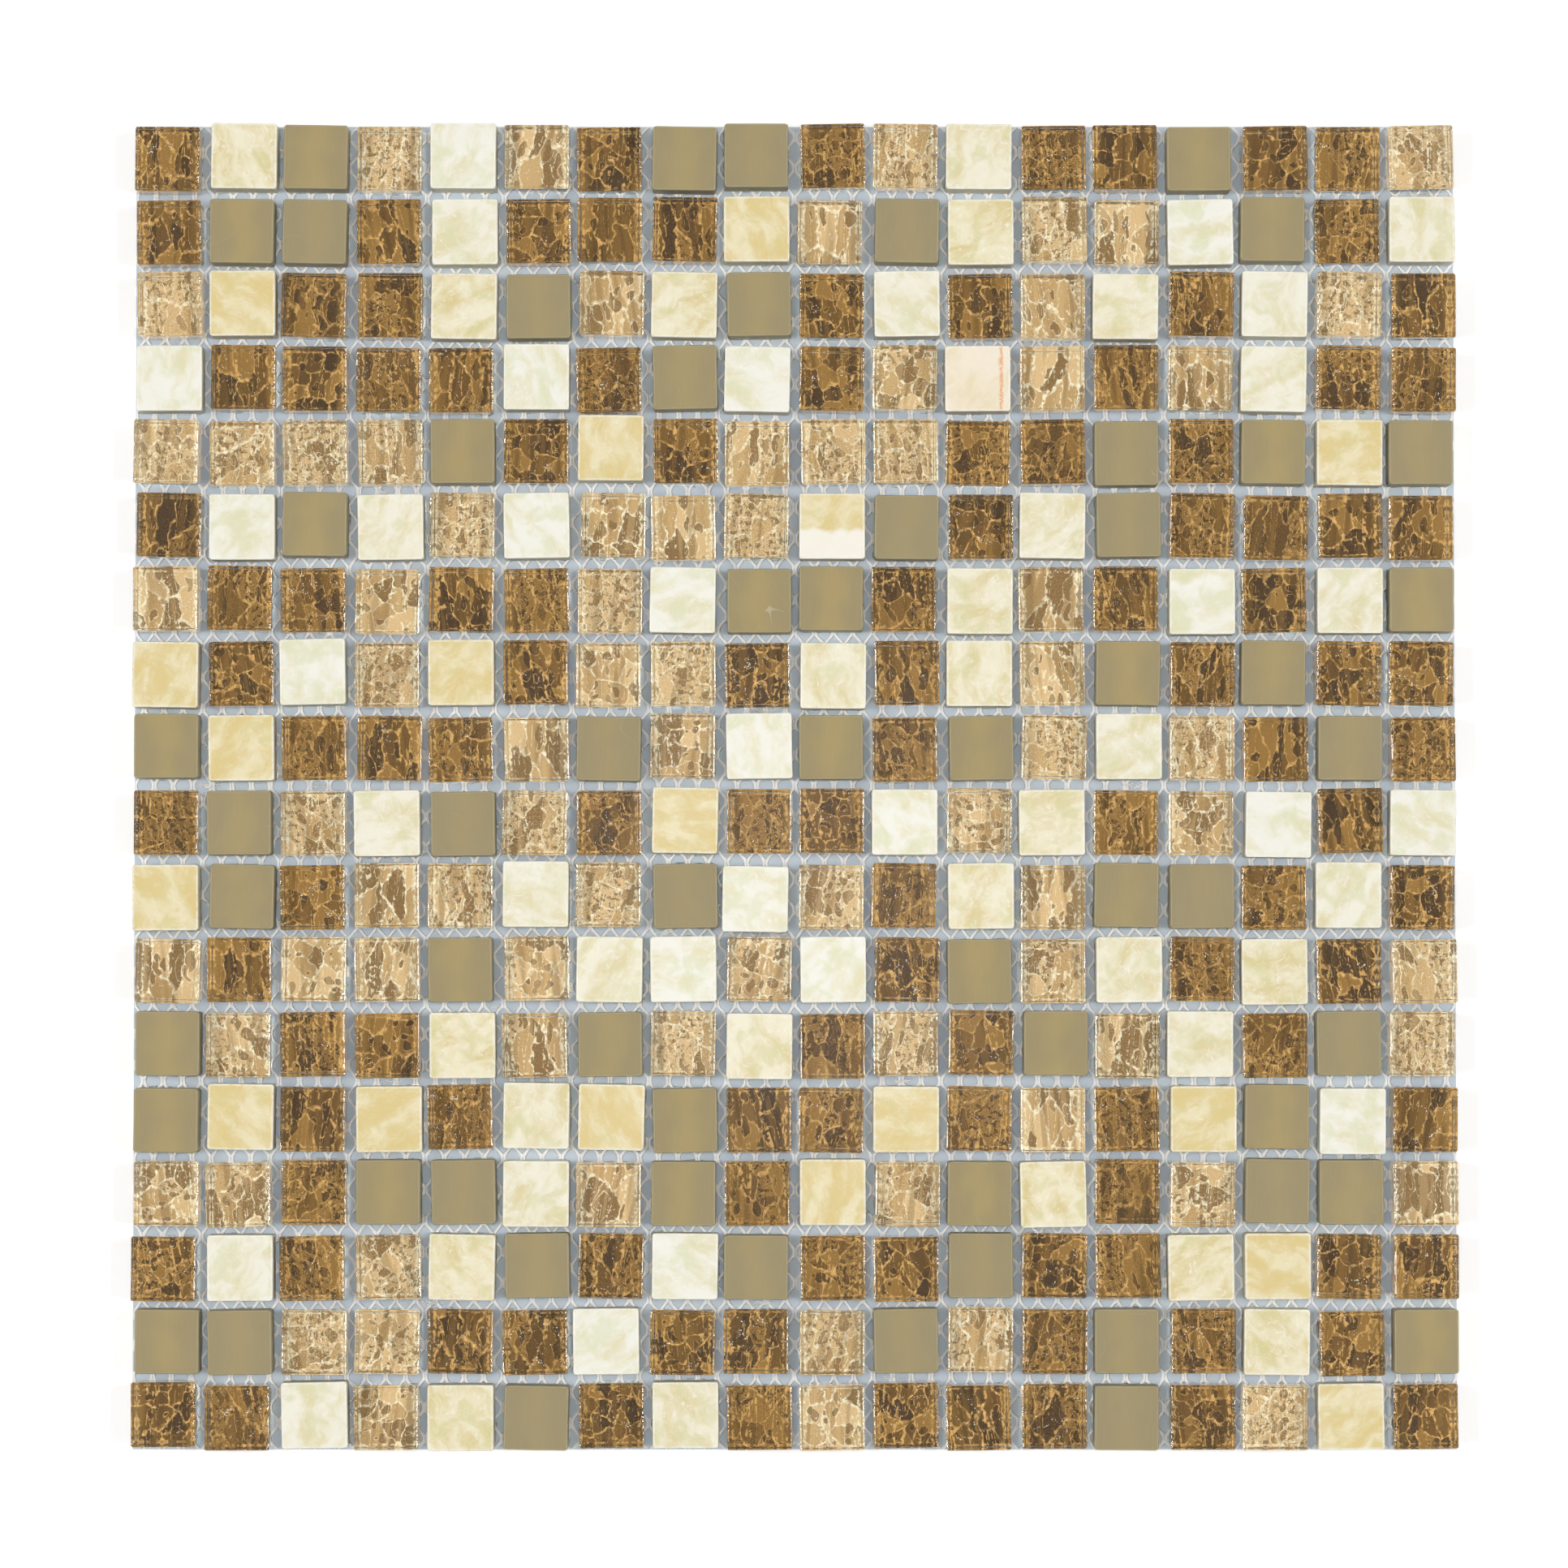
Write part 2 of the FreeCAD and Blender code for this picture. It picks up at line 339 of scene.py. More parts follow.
def blocks(kind, half, corner, profile, corner_steps, side_steps, waver, lean=None):
    """Points of all chips of one kind as an array chip, ring, point, and the same before they are laid.

    A ring is the chip's rounded square drawn in by the profile's inset, at the profile's
    height. Waver draws the points in by chance, waver[ring] at most. A wall that was cut
    aslant leans in towards the foot: each side of a chip by its own share of lean[ring].
    """
    chosen = plan == kind
    count = int(chosen.sum())
    inset, height = np.array(profile).T
    weights = outline(corner_steps, side_steps)
    radius = np.maximum(corner - inset, 0.08 * MM)[:, None]
    reach = (half - inset)[:, None] - radius
    ring_x = reach * weights[0] + radius * weights[2]
    ring_y = reach * weights[1] + radius * weights[3]
    shape = (count, len(inset), weights.shape[1])
    smooth = chance.uniform(0, 1, (count, 1, shape[2]))
    draw = 1 - (smooth * 0.6 + chance.uniform(0, 0.4, shape)) * np.array(waver)[None, :, None] / half
    local_x = ring_x[None] * draw
    local_y = ring_y[None] * draw
    local_z = np.broadcast_to(height[None, :, None], shape)
    if lean is not None:
        left, right, front, back = [np.clip(1.6 * scatter(seed)[chosen], 0, 1)[:, None, None]
                                    for seed in (4, 5, 6, 7)]
        step = np.array(lean)[None, :, None]
        local_x = local_x * (1 - step * (left + right) / 2 / half) + step * (left - right) / 2
        local_y = local_y * (1 - step * (front + back) / 2 / half) + step * (front - back) / 2
    cos, sin = np.cos(turned[chosen])[:, None, None], np.sin(turned[chosen])[:, None, None]
    x = centre_x[chosen][:, None, None] + local_x * cos - local_y * sin
    y = centre_y[chosen][:, None, None] + local_x * sin + local_y * cos
    return np.stack([x, y, local_z], axis=-1), np.stack([local_x, local_y], axis=-1)


def put_blocks(name, laid, local, half, node, corner_steps, facet=None, swing=0.2):
    """The chips of one kind as one mesh with its maps: place on the face, and place in the pattern.

    The straight parts of a chip's walls stay flat, and so does the ring of faces with the
    facet's number. Each chip's pattern is turned by up to the swing, and half of them are
    upside down.
    """
    count, steps, sides, _ = laid.shape
    piece = put_mesh(name, laid.reshape(-1, 3), tube_faces(count, steps, sides))
    smooth = np.zeros(len(piece.data.polygons), bool)
    piece.data.polygons.foreach_get("use_smooth", smooth)
    walls = smooth[:count * (steps - 1) * sides].reshape(count, steps - 1, sides)
    walls[:, 0, np.arange(sides) % (sides // 4) >= corner_steps] = False
    if facet is not None:
        walls[:, facet] = False
    piece.data.polygons.foreach_set("use_smooth", smooth)
    put_uv(piece, "face", (local / half).reshape(-1, 2))
    angle = (chance.integers(0, 2, count) * math.pi + chance.uniform(-swing, swing, count))[:, None, None]
    start = chance.uniform(0, 900, (count, 1, 1, 2))
    grain = np.stack([local[..., 0] * np.cos(angle) - local[..., 1] * np.sin(angle),
                      local[..., 0] * np.sin(angle) + local[..., 1] * np.cos(angle)], axis=-1)
    put_uv(piece, "grain", (grain / MM + start).reshape(-1, 2))
    for index in range(3):
        own = chance.uniform(0, 1, count)[:, None, None]
        put_value(piece, "own_%d" % index, np.broadcast_to(own, laid.shape[:3]))
    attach(piece, "root")
    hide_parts(node)
    return piece


glue_low = net_low[2] + GLUE_BOTTOM
profile = [(GLUE_UNDER, glue_low), (-GLUE_REACH, glue_low + 0.02 * MM), (-GLUE_REACH, glue_low + 0.07 * MM),
           (0.03 * MM, net_low[2] + GLUE_TOP)]
collars = []
for kind, half in GLUE_FEET.items():
    laid, _ = blocks(kind, half, GLUE_CORNER, profile, 2, 3, [0, GLUE_WAVER, GLUE_WAVER, 0])
    collars.append(laid)
collars = np.concatenate(collars)
trim = 0.05 * MM
collars[..., :2] = np.clip(collars[..., :2], net_low[:2] + trim, net_high[:2] - trim)
count, steps, sides, _ = collars.shape
glue = put_mesh("glue_collars", collars.reshape(-1, 3), tube_faces(count, steps, sides, looped=True))

glue_material, tree, shader = new_material("dried glue")
place = add(tree, "TexCoord").outputs["Object"]
cloud = add(tree, "TexNoise", {"Vector": place, "Scale": 380.0, "Detail": 3.0, "Roughness": 0.6}).outputs[0]
shader.inputs["Base Color"].default_value = colour(228, 230, 218)
shader.inputs["Roughness"].default_value = 0.3
feed(tree, ramp(tree, cloud, 0.42, 0.72, 0.05, 0.5), shader, "Alpha")
glue_bump = add(tree, "Bump", {"Height": cloud, "Strength": 0.5, "Distance": 0.2 * MM})
feed(tree, glue_bump.outputs[0], shader, "Normal")
glue.data.materials.append(glue_material)
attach(glue, "root")


# Loose fibres: short ends and curls of the net's thread, pulled out when it was cut and laid.
# They lie in small bunches on the net in the joints.

BUNCHES = 26
CURLS = 130
CURL_RINGS = 14
CURL_SIDES = 4
CURL_LENGTH = 4.5 * MM
CURL_THICKNESS = 0.17 * MM
CURL_HEIGHT = 0.5 * MM
BUNCH_SPREAD = 1.2 * MM

part = np.linspace(-0.5, 0.5, CURL_RINGS)[None, :]
phase = chance.uniform(0, 6.28, (4, CURLS, 1))
size = chance.uniform(0.4, 1.0, (CURLS, 1))
run = part * size * CURL_LENGTH + 0.35 * MM * np.sin(part * 11 + phase[0])
swerve = 0.4 * MM * np.sin(part * 7 + phase[1]) + 0.2 * MM * np.sin(part * 19 + phase[2])
hover = net_low[2] + CURL_HEIGHT + 0.12 * MM * np.sin(part * 9 + phase[3])
bunch = chance.integers(0, BUNCHES, (CURLS, 1))
joint = chance.integers(-8, 9, BUNCHES)[bunch] * ROW_PITCH
lying_at = (chance.uniform(-0.94, 0.94, BUNCHES)[bunch] * net_high[0]
            + chance.uniform(-1, 1, (CURLS, 1)) * BUNCH_SPREAD)
spine = np.stack([lying_at + run, joint + swerve, np.broadcast_to(hover, run.shape)], axis=-1)
around = np.arange(CURL_SIDES) / CURL_SIDES * 2 * np.pi
girth = CURL_THICKNESS / 2 * np.stack([np.zeros(CURL_SIDES), np.cos(around), np.sin(around)], axis=-1)
curls = spine[:, :, None] + girth
fibre_ends = put_mesh("loose_fibres", curls.reshape(-1, 3), tube_faces(CURLS, CURL_RINGS, CURL_SIDES))
put_uv(fibre_ends, "thread", curls.reshape(-1, 3)[:, :2] / (2 * MM))
fibre_ends.data.materials.append(net_fabric)
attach(fibre_ends, "root")


# The crackle film: lacquer and metal leaf on the back of a crackle glass chip, shrunk until
# it tears into brown islands with bright seams between them, and painted over behind.

CRACKLE_HALF = 7.42 * MM
FILM_INSET = 0.06 * MM
CUT_LEAN = 0.9 * MM
ISLANDS_PER_MM = 0.26
ROUND_ISLANDS_PER_MM = 0.37
FLECK_GLINTS_PER_MM = 2.6


def noise(tree, place, scale, detail=1.0, roughness=0.5):
    """A cloud pattern in the plane of a map."""
    inputs = {"Vector": place, "Scale": scale, "Detail": detail, "Roughness": roughness}
    return add(tree, "TexNoise", inputs, noise_dimensions="2D").outputs


def moved(tree, place, push, length):
    """A place in a pattern, pushed by a colour times a length."""
    step = add(tree, "VectorMath", {0: push, "Scale": length}, operation="SCALE").outputs[0]
    return add(tree, "VectorMath", {0: place, 1: step}, operation="ADD").outputs[0]


def both(tree, a, b):
    """The product of two masks, or a mask at part of its strength."""
    return calc(tree, "MULTIPLY", a, b)


def peak(tree, value, middle, width):
    """One at the middle, easing to nothing a width away on both sides."""
    away = calc(tree, "ABSOLUTE", calc(tree, "SUBTRACT", value, middle))
    return ramp(tree, away, 0.0, width, 1.0, 0.0)


# The torn lacquer as a node group: islands in three flat tones, some of them mottled, with
# bright seams of uneven width between them, and darker round islands on top. Bright upright
# streaks run down it. Painted light brightens its sides with streaks, as light let in by the glass
# walls would. Painted reflections of the walls draw lines near its sides and ends, and painted
# shade darkens its ends. Flecks of bare metal, painted white as glints, are strung along cracks
# and along the sides. Grain is a map in millimetres, Face runs from -1 to 1.
crackle = bpy.data.node_groups.new("torn lacquer", "ShaderNodeTree")
CRACKLE_INPUTS = {"Color": ("Dark", "Middle", "Light", "Seam", "Fleck_Glint"), "Vector": ("Face", "Grain"),
                  "Float": ("Tall", "Mottled", "Flecked")}
for kind, names in CRACKLE_INPUTS.items():
    for name in names:
        crackle.interface.new_socket(name=name, in_out="INPUT", socket_type="NodeSocket" + kind)
crackle.interface.new_socket(name="Colour", in_out="OUTPUT", socket_type="NodeSocketColor")
crackle.interface.new_socket(name="Shine", in_out="OUTPUT", socket_type="NodeSocketFloat")
given = crackle.nodes.new("NodeGroupInput").outputs
dark, middle, light, seam = given["Dark"], given["Middle"], given["Light"], given["Seam"]

# Two clouds bend the pattern's place, and a chip's own number draws its islands out upright.
wide = noise(crackle, given["Grain"], 0.2)
close = noise(crackle, given["Grain"], 0.9)
loose = add(crackle, "SeparateColor", {0: close["Color"]}).outputs
bent = moved(crackle, moved(crackle, given["Grain"], wide["Color"], 3.4), close["Color"], 0.55)
level_share = ramp(crackle, given["Tall"], 0.35, 0.75, 0.38, 0.85)
tall = add(crackle, "CombineXYZ", {0: 1.0, 1: level_share, 2: 1.0}).outputs[0]
drawn = add(crackle, "VectorMath", {0: bent, 1: tall}, operation="MULTIPLY").outputs[0]
near = moved(crackle, given["Grain"], close["Color"], 0.4)
grit = noise(crackle, near, 2.7, 2.0, 0.7)[0]
mottle = noise(crackle, near, 0.8, 2.0, 0.6)[0]

# The islands: one flat tone for each, or a mottle of all of them.
islands = {"Vector": drawn, "Scale": ISLANDS_PER_MM}
cells = add(crackle, "TexVoronoi", islands, voronoi_dimensions="2D").outputs
edge = add(crackle, "TexVoronoi", islands, feature="DISTANCE_TO_EDGE", voronoi_dimensions="2D").outputs[0]
tone = add(crackle, "SeparateColor", {0: cells["Color"]}).outputs
shown = blend(crackle, ramp(crackle, tone[0], 0.3, 0.34), dark, middle)
shown = blend(crackle, ramp(crackle, tone[0], 0.72, 0.76), shown, light)
torn = blend(crackle, ramp(crackle, mottle, 0.38, 0.48), dark, middle)
torn = blend(crackle, ramp(crackle, mottle, 0.5, 0.62), torn, light)
torn = blend(crackle, peak(crackle, mottle, 0.49, 0.03), torn, seam)
is_torn = calc(crackle, "ADD", tone[1], ramp(crackle, given["Mottled"], 0.0, 1.0, -0.6, 0.2))
shown = blend(crackle, ramp(crackle, is_torn, 0.5, 0.56), shown, torn)

# The round islands, and the seams round both kinds.
round_islands = {"Vector": drawn, "Scale": ROUND_ISLANDS_PER_MM}
round_ones = add(crackle, "TexVoronoi", round_islands, voronoi_dimensions="2D").outputs
own_size = add(crackle, "SeparateColor", {0: round_ones["Color"]}).outputs
own_reach = calc(crackle, "MULTIPLY_ADD", own_size[0], 0.5, -0.08)
inward = calc(crackle, "SUBTRACT", own_reach, round_ones["Distance"])
seam_width = ramp(crackle, loose[0], 0.35, 0.65, 0.03, 0.1)
seam_mask = ramp(crackle, calc(crackle, "DIVIDE", edge, seam_width), 0.3, 1.0, 1.0, 0.0)
seam_mask = both(crackle, seam_mask, ramp(crackle, loose[1], 0.35, 0.6, 0.3, 1.0))
shown = blend(crackle, seam_mask, shown, seam)
shown = blend(crackle, both(crackle, ramp(crackle, inward, -0.01, 0.03), 0.9), shown, dark)
ring_mask = both(crackle, peak(crackle, inward, -0.025, 0.045), ramp(crackle, loose[2], 0.4, 0.6, 0.15, 0.85))
shown = blend(crackle, ring_mask, shown, seam)
gritty = ramp(crackle, given["Mottled"], 0.1, 1.0, 0.2, 0.6)
shown = blend(crackle, both(crackle, ramp(crackle, grit, 0.46, 0.72), gritty), shown, dark)
shown = blend(crackle, both(crackle, ramp(crackle, grit, 0.54, 0.28), gritty), shown, light)

# The upright bands and streaks, then painted light along the sides, painted reflected lines near the sides and
# ends, and painted shade at the ends.
spot = add(crackle, "SeparateXYZ", {0: given["Face"]}).outputs
to_side = calc(crackle, "ABSOLUTE", spot[0])
to_end = calc(crackle, "ABSOLUTE", spot[1])
bands = add(crackle, "VectorMath", {0: given["Grain"], 1: (1.0, 0.1, 1.0)}, operation="MULTIPLY").outputs[0]
bands = noise(crackle, bands, 0.42)[0]
shown = blend(crackle, ramp(crackle, bands, 0.55, 0.7, 0.0, 0.4), shown, dark)
shown = blend(crackle, ramp(crackle, bands, 0.46, 0.34, 0.0, 0.3), shown, light)
upright_streak = both(crackle, peak(crackle, bands, 0.5, 0.022), ramp(crackle, loose[2], 0.44, 0.56, 0.0, 0.75))
shown = blend(crackle, upright_streak, shown, seam)
# Painted light: the sides are brightened and streaked in the seam colour, as light let in through the glass
# walls would light them.
painted_side_light = both(crackle, ramp(crackle, to_side, 0.55, 0.95), both(crackle, tone[2], 0.22))
shown = blend(crackle, painted_side_light, shown, seam)
wandering = calc(crackle, "MULTIPLY_ADD", loose[1], -0.16, to_side)
painted_side_reflection = both(crackle, peak(crackle, wandering, 0.76, 0.06), ramp(crackle, loose[0], 0.42, 0.55))
shown = blend(crackle, both(crackle, painted_side_reflection, 0.8), shown, seam)
# A painted reflection: a dark line near each side, where a glass wall mirrors the film's edge.
shown = blend(crackle, both(crackle, peak(crackle, to_side, 0.915, 0.02), 0.6), shown, dark)
# A painted reflection, a bright line near each end, and painted shade along the very ends.
painted_end_reflection = both(crackle, peak(crackle, to_end, 0.88, 0.05), ramp(crackle, loose[2], 0.45, 0.6, 0.0, 0.6))
shown = blend(crackle, painted_end_reflection, shown, seam)
painted_end_shade = both(crackle, ramp(crackle, to_end, 0.93, 0.97), ramp(crackle, loose[1], 0.35, 0.55))
shown = blend(crackle, painted_end_shade, shown, dark)

# The flecks of bare metal, painted white as glints, in some chips strung along a crack, and in all of them
# along the sides as painted highlights.
crack = noise(crackle, given["Grain"], 0.17)[0]
strung_glints = both(crackle, peak(crackle, crack, 0.5, 0.02), ramp(crackle, given["Flecked"], 0.3, 0.4))
strung_glints = calc(crackle, "MAXIMUM", strung_glints, both(crackle, ramp(crackle, to_side, 0.9, 0.97), 0.7))
flecks = {"Vector": moved(crackle, given["Grain"], close["Color"], 0.5), "Scale": FLECK_GLINTS_PER_MM}
speck = add(crackle, "TexVoronoi", flecks, voronoi_dimensions="2D").outputs
pick = add(crackle, "SeparateColor", {0: speck["Color"]}).outputs
reach = ramp(crackle, pick[1], 0.0, 1.0, 0.1, 0.42)
fleck_glint = ramp(crackle, calc(crackle, "SUBTRACT", reach, speck["Distance"]), 0.0, 0.08)
fleck_glint = both(crackle, both(crackle, fleck_glint, ramp(crackle, pick[0], 0.5, 0.55)), strung_glints)
shown = blend(crackle, fleck_glint, shown, given["Fleck_Glint"])
taken = crackle.nodes.new("NodeGroupOutput").inputs
crackle.links.new(shown, taken["Colour"])
crackle.links.new(calc(crackle, "MAXIMUM", seam_mask, ring_mask), taken["Shine"])


def own_numbers(tree):
    """The three numbers from 0 to 1 that are each chip's own."""
    return [add(tree, "Attribute", attribute_name="own_%d" % index).outputs["Fac"] for index in range(3)]


# The tones of each film. Its near-white fleck colour is a painted glint on the bare metal.
FILMS = (
    ("D", "dark_crackle_film", "dark_crackle",
     {"Dark": colour(60, 39, 6), "Middle": colour(106, 76, 27), "Light": colour(152, 115, 55),
      "Seam": colour(226, 182, 112), "Fleck_Glint": colour(255, 250, 240)}),
    ("P", "pale_crackle_film", "pale_crackle",
     {"Dark": colour(134, 104, 60), "Middle": colour(198, 164, 112), "Light": colour(230, 198, 148),
      "Seam": colour(255, 248, 220), "Fleck_Glint": colour(255, 255, 250)}),
)
for kind, node, slot, tones in FILMS:
    film, tree, shader = new_material(node.replace("_", " "))
    face = add(tree, "UVMap", uv_map="face").outputs[0]
    grain = add(tree, "UVMap", uv_map="grain").outputs[0]
    own = own_numbers(tree)
    chip = {"Face": face, "Grain": grain, "Tall": own[0], "Mottled": own[1], "Flecked": own[2]}
    pattern = add(tree, "Group", node_tree=crackle)
    for name, value in tones.items():
        pattern.inputs[name].default_value = value
    for name, value in chip.items():
        tree.links.new(value, pattern.inputs[name])
    facing = add(tree, "SeparateXYZ", {0: add(tree, "NewGeometry").outputs["True Normal"]}).outputs[2]
    behind = calc(tree, "LESS_THAN", facing, -0.5)
    paint = noise(tree, grain, 0.5, 3.0)[0]
    coat = blend(tree, paint, colour(128, 114, 92), colour(158, 144, 120))
    feed(tree, blend(tree, behind, pattern.outputs["Colour"], coat), shader, "Base Color")
    metal = both(tree, pattern.outputs["Shine"], calc(tree, "SUBTRACT", 1.0, behind))
    feed(tree, ramp(tree, metal, 0.0, 1.0, 0.0, 0.3), shader, "Metallic")
    shader.inputs["Roughness"].default_value = 0.45
    shader.inputs["Specular IOR Level"].default_value = 0.3
    leaf = noise(tree, grain, 1.3)[0]
    relief = add(tree, "Bump", {"Height": leaf, "Strength": 0.5, "Distance": 0.25 * MM})
    feed(tree, relief.outputs[0], shader, "Normal")

    low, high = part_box(node)[0][2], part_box(node)[1][2]
    half = CRACKLE_HALF - FILM_INSET
    profile = [(0.1 * MM, low), (0, low + 0.1 * MM), (0, high)]
    laid, local = blocks(kind, half, 0.4 * MM, profile, 2, 2, [0.03 * MM] * 3, [CUT_LEAN] * 3)
    piece = put_blocks(node + "_layers", laid, local, half, node, 2)
    piece.data.materials.append(film)


# The crackle glass: a clear chip, cut from the sheet that carries the film. Its rim is
# ground to a narrow uneven facet. Its sides are cut a little aslant and mirror the film.

GLASS_CORNER = 0.45 * MM
GLASS_TINT = (0.985, 0.975, 0.945, 1)
GLASS_FACET = 3


def rimward(tree, across):
    """How near the rim a place on a chip's face is: the larger of its two distances from the middle."""
    return calc(tree, "MAXIMUM", calc(tree, "ABSOLUTE", across[0]), calc(tree, "ABSOLUTE", across[1]))


glass_material, tree, shader = new_material("clear glass")
place = add(tree, "UVMap", uv_map="grain").outputs[0]
ripple = noise(tree, place, 0.3)[0]
face = add(tree, "SeparateXYZ", {0: add(tree, "UVMap", uv_map="face").outputs[0]}).outputs
nicks = both(tree, ramp(tree, rimward(tree, face), 0.925, 0.945), noise(tree, place, 1.1)[0])
surface = calc(tree, "MULTIPLY_ADD", nicks, 1.3, ripple)
ripple_bump = add(tree, "Bump", {"Height": surface, "Strength": 0.25, "Distance": 0.2 * MM})
feed(tree, ripple_bump.outputs[0], shader, "Normal")
shader.inputs["Base Color"].default_value = GLASS_TINT
shader.inputs["Roughness"].default_value = 0.02
shader.inputs["IOR"].default_value = 1.5
shader.inputs["Transmission Weight"].default_value = 1.0

# Rays that light the film from the lamps and the room meet the glass from within, and it lets
# them by unbent, so that the film is lit through it. From outside it casts a full shadow, and
# scattered light meets it as a dull tan block, the mean colour of what lies in it.
clear = add(tree, "BsdfTransparent", {"Color": (0.96, 0.95, 0.91, 1)})
ray = add(tree, "LightPath").outputs
from_within = add(tree, "NewGeometry").outputs["Backfacing"]
unseen = calc(tree, "MAXIMUM", ray["Is Shadow Ray"], ray["Is Diffuse Ray"])
let_by = both(tree, unseen, calc(tree, "MAXIMUM", from_within, calc(
    tree, "GREATER_THAN", ray["Transparent Depth"], 0.5)))
either = add(tree, "MixShader", {0: let_by, 1: shader.outputs[0], 2: clear.outputs[0]})
dull = add(tree, "BsdfDiffuse", {"Color": colour(150, 132, 98)})
from_beside = both(tree, ray["Is Diffuse Ray"], calc(tree, "SUBTRACT", 1.0, let_by))
either = add(tree, "MixShader", {0: from_beside, 1: either.outputs[0], 2: dull.outputs[0]})
tree.links.new(either.outputs[0], tree.nodes["Material Output"].inputs["Surface"])

for kind, node in (("D", "dark_crackle_glass"), ("P", "pale_crackle_glass")):
    low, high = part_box(node)[0][2] - 0.02 * MM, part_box(node)[1][2]
    profile = [(0, low), (0, high - 0.7 * MM), (0, high - 0.25 * MM),
               (0.06 * MM, high - 0.08 * MM), (0.3 * MM, high)]
    waver = np.array([0.03, 0.08, 0.1, 0.12, 0.1]) * MM
    lean = np.array([1, 0.1, 0, 0, 0]) * CUT_LEAN
    laid, local = blocks(kind, CRACKLE_HALF, GLASS_CORNER, profile, 2, 2, waver, lean)
    piece = put_blocks(node + "_bodies", laid, local, CRACKLE_HALF, node, 2, facet=GLASS_FACET)
    piece.data.materials.append(glass_material)


# The frosted chips: olive glass, moulded with soft corners and etched with acid, so that
# the face is satin and shows faint scratches. Painted light makes the middle of the face glow
# warmer than its sides, paints a paler highlight round its rim and pales its walls, as light
# scattered in the frosted glass would.

FROSTED_HALF = 7.4 * MM
FROSTED_CORNER = 0.75 * MM
FROSTED_RIM = 0.42 * MM

frosted, tree, shader = new_material("frosted olive glass")
face = add(tree, "UVMap", uv_map="face").outputs[0]
grain = add(tree, "UVMap", uv_map="grain").outputs[0]
own = own_numbers(tree)
across = add(tree, "SeparateXYZ", {0: face}).outputs
to_side = calc(tree, "ABSOLUTE", across[0])
haze = noise(tree, grain, 0.12)[0]
drawn = add(tree, "VectorMath", {0: grain, 1: (1.0, 0.06, 1.0)}, operation="MULTIPLY").outputs[0]
brushed = noise(tree, drawn, 2.5, 3.0, 0.6)[0]
# Painted light: the middle of the face glows warmer and a little brighter than its sides, as light scattered in
# the glass would make it.
painted_middle_glow = ramp(tree, calc(tree, "MULTIPLY_ADD", haze, 0.9, to_side), 0.4, 1.25, 1.0, 0.0)
shown = blend(tree, painted_middle_glow, colour(158, 143, 104), colour(170, 151, 103))
shown = blend(tree, ramp(tree, own[1], 0.3, 1.0, 0.0, 0.5), shown, colour(154, 142, 110))
shown = blend(tree, ramp(tree, brushed, 0.4, 0.75, 0.0, 0.05), shown, colour(202, 190, 150))
to_rim = rimward(tree, across)
# A painted highlight along the rounded rim, and the walls painted paler, as light through the frosted glass
# would light them.
shown = blend(tree, peak(tree, to_rim, 0.965, 0.03), shown, colour(174, 164, 132))
shown = blend(tree, ramp(tree, to_rim, 0.985, 1.0), shown, colour(196, 188, 156))
scratch = peak(tree, noise(tree, grain, 0.07, 0.0)[0], 0.5, 0.0016)
scratch = both(tree, scratch, ramp(tree, haze, 0.57, 0.6, 0.0, 0.4))
scratch = both(tree, scratch, ramp(tree, own[0], 0.6, 0.65))
shown = blend(tree, scratch, shown, colour(214, 208, 178))
feed(tree, shown, shader, "Base Color")
etch = noise(tree, grain, 5.0, 2.0)[0]
etch_bump = add(tree, "Bump", {"Height": etch, "Strength": 0.25, "Distance": 0.03 * MM})
feed(tree, etch_bump.outputs[0], shader, "Normal")
feed(tree, ramp(tree, brushed, 0.3, 0.7, 0.42, 0.52), shader, "Roughness")
shader.inputs["IOR"].default_value = 1.5

node = "frosted_glass_chips"
low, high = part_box(node)[0][2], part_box(node)[1][2]
profile = [(0, low), (0, high - FROSTED_RIM), (0.12 * MM, high - 0.12 * MM), (FROSTED_RIM, high)]
waver = np.array([0.05, 0.08, 0.08, 0.06]) * MM
laid, local = blocks("F", FROSTED_HALF, FROSTED_CORNER, profile, 3, 2, waver)
piece = put_blocks("frosted_chips", laid, local, FROSTED_HALF, node, 3)
piece.data.materials.append(frosted)


# The onyx chips: sawn from banded cream stone and polished on the face. Saw marks stay on
# their sides, and their arrises are eased and here and there chipped.

ONYX_HALF = 7.6 * MM
ONYX_CORNER = 0.6 * MM
ONYX_RIM = 0.3 * MM
WHITE_WARMTH, HONEY_WARMTH = 0.06, 0.95
WHITE_STONES = ((1, 5), (2, 15), (4, 1), (4, 6), (4, 9), (6, 2), (6, 6), (7, 8), (7, 15), (8, 3), (9, 9),
                (10, 11), (10, 16), (10, 18), (11, 9), (12, 8), (12, 10), (14, 17), (16, 8), (17, 7))
HONEY_STONES = ((2, 9), (3, 2), (5, 7), (5, 17), (6, 10), (8, 1), (8, 5), (9, 2), (10, 8), (11, 1), (14, 2),
                (14, 4), (14, 7), (14, 11), (14, 15), (15, 10), (16, 16), (18, 17))
RUST_VEINED = (4, 12)
HALF_WHITE = (6, 10)

